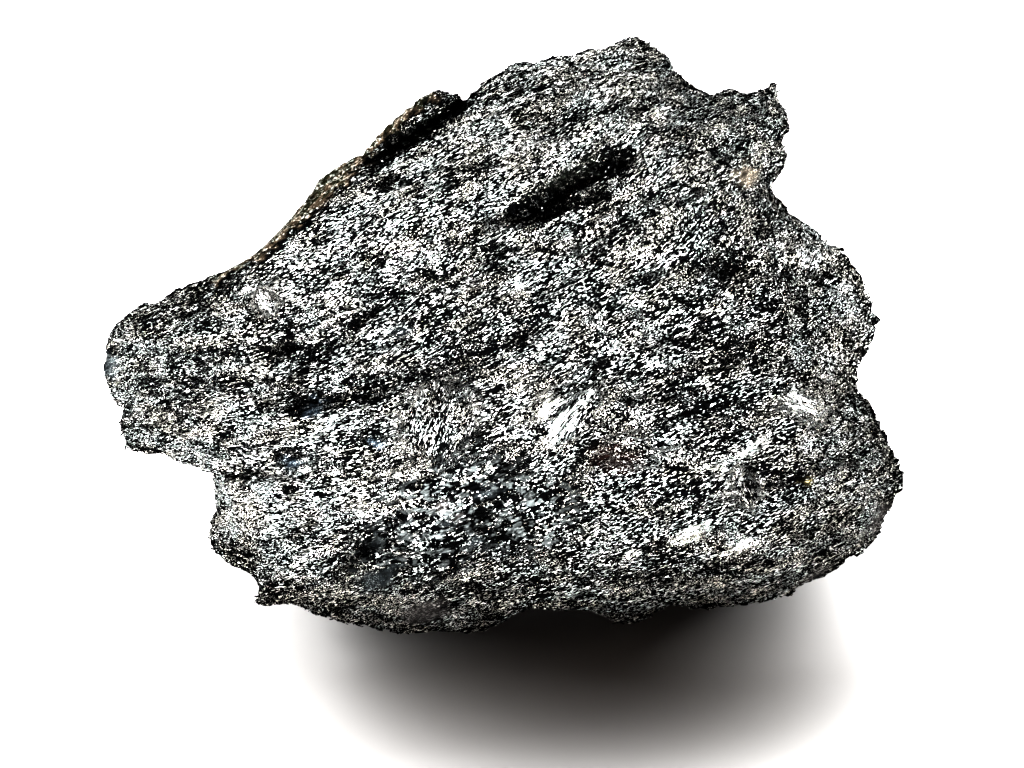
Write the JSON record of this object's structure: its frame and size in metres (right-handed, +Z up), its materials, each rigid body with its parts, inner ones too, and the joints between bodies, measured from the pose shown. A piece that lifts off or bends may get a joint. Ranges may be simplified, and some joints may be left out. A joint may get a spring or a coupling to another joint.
{
  "type": "native antimony specimen",
  "caption": "Massive native antimony hand specimen, a heavy wedge of bladed steel-grey metal with a hackly face, a flat break to rest on and a brownish rind along one edge",
  "frame": {"origin": "Bottom centre of the specimen's bounding box, on the surface that it rests on", "axes": "+X runs along the longest side, from the blunt nose to the broad shoulder; the rough show face looks towards -Y and up; +Y is the steep back; +Z is up"},
  "size_m": [0.1, 0.0622, 0.0619],
  "materials": {
    "native_antimony": "bright broken metal"
  },
  "bodies": {
    "root": {"antimony_mass": "native_antimony"}
  },
  "joints": []
}
